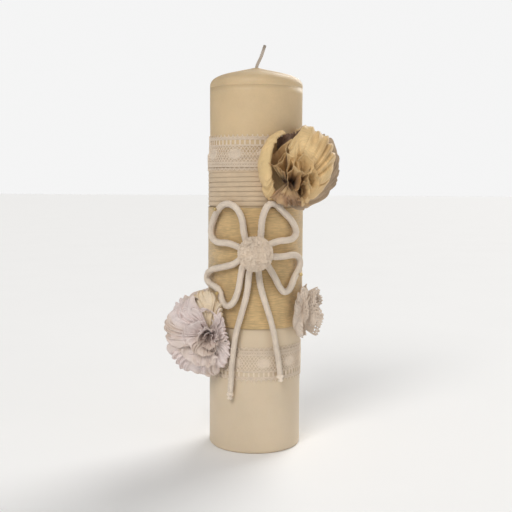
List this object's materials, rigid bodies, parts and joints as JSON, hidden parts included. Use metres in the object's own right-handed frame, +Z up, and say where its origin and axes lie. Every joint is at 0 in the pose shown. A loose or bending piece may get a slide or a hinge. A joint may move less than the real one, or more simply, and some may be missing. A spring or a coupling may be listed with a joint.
{
  "type": "unity candle",
  "caption": "Ivory pillar candle dressed with a silk ribbon, wound cord, lace bands, a soft cord bow with a pompom, and folded fabric flowers for a wedding table.",
  "frame": {"origin": "centre of the pillar's flat base, where it stands", "axes": "+Z up the pillar's axis to the wick, -Y out of the dressed front, +X to the right of it"},
  "size_m": [0.1248, 0.1013, 0.3046],
  "materials": {
    "wax": "ivory paraffin wax, satin, faintly translucent",
    "wick_cotton": "plaited cotton, waxed",
    "wick_foot_steel": "stamped tinplate",
    "ribbon_silk": "slubbed straw-gold silk, soft sheen",
    "wound_cord": "flat ivory cotton cord",
    "lace": "ivory cotton bobbin lace, open mesh",
    "flower_lace": "ivory gathered eyelet lace",
    "felt": "pressed ivory felt",
    "pompom_wool": "fluffy ivory wool",
    "thread": "bound sewing thread",
    "bow_cord": "soft round knitted ivory cord",
    "pin_steel": "bright steel wire",
    "pin_gilt": "polished gilt",
    "organza": "pale gold folded taffeta, soft sheen",
    "satin": "pearl white satin"
  },
  "bodies": {
    "root": {"bow_knot_disc": "felt", "bow_loop_lower_left": "bow_cord", "bow_loop_lower_right": "bow_cord", "bow_loop_upper_left": "bow_cord", "bow_loop_upper_right": "bow_cord", "bow_tail_left": "bow_cord", "bow_tail_right": "bow_cord", "candle_body": "wax", "cord_wrap": "wound_cord", "lace_flower_felt": "felt", "lace_flower_inner_ruffle": "flower_lace", "lace_flower_outer_ruffle": "flower_lace", "lower_lace_band": "lace", "organza_flower_curl_1": "organza", "organza_flower_curl_2": "organza", "organza_flower_curl_3": "organza", "organza_flower_felt": "felt", "organza_flower_petal_1": "organza", "organza_flower_petal_2": "organza", "organza_flower_petal_3": "organza", "organza_flower_petal_4": "organza", "organza_flower_petal_5": "organza", "organza_flower_petal_6": "organza", "pin_beads": "pin_gilt", "pin_shanks": "pin_steel", "pompom": "pompom_wool", "pompom_tie": "thread", "satin_flower_curl_1": "satin", "satin_flower_curl_2": "satin", "satin_flower_curl_3": "satin", "satin_flower_felt": "felt", "satin_flower_petal_1": "satin", "satin_flower_petal_2": "satin", "satin_flower_petal_3": "satin", "satin_flower_petal_4": "satin", "satin_flower_petal_5": "satin", "satin_flower_petal_6": "satin", "satin_flower_petal_7": "satin", "silk_ribbon": "ribbon_silk", "tail_knot_left": "bow_cord", "tail_knot_right": "bow_cord", "upper_lace_band": "lace", "wick": "wick_cotton", "wick_foot": "wick_foot_steel"}
  },
  "joints": []
}
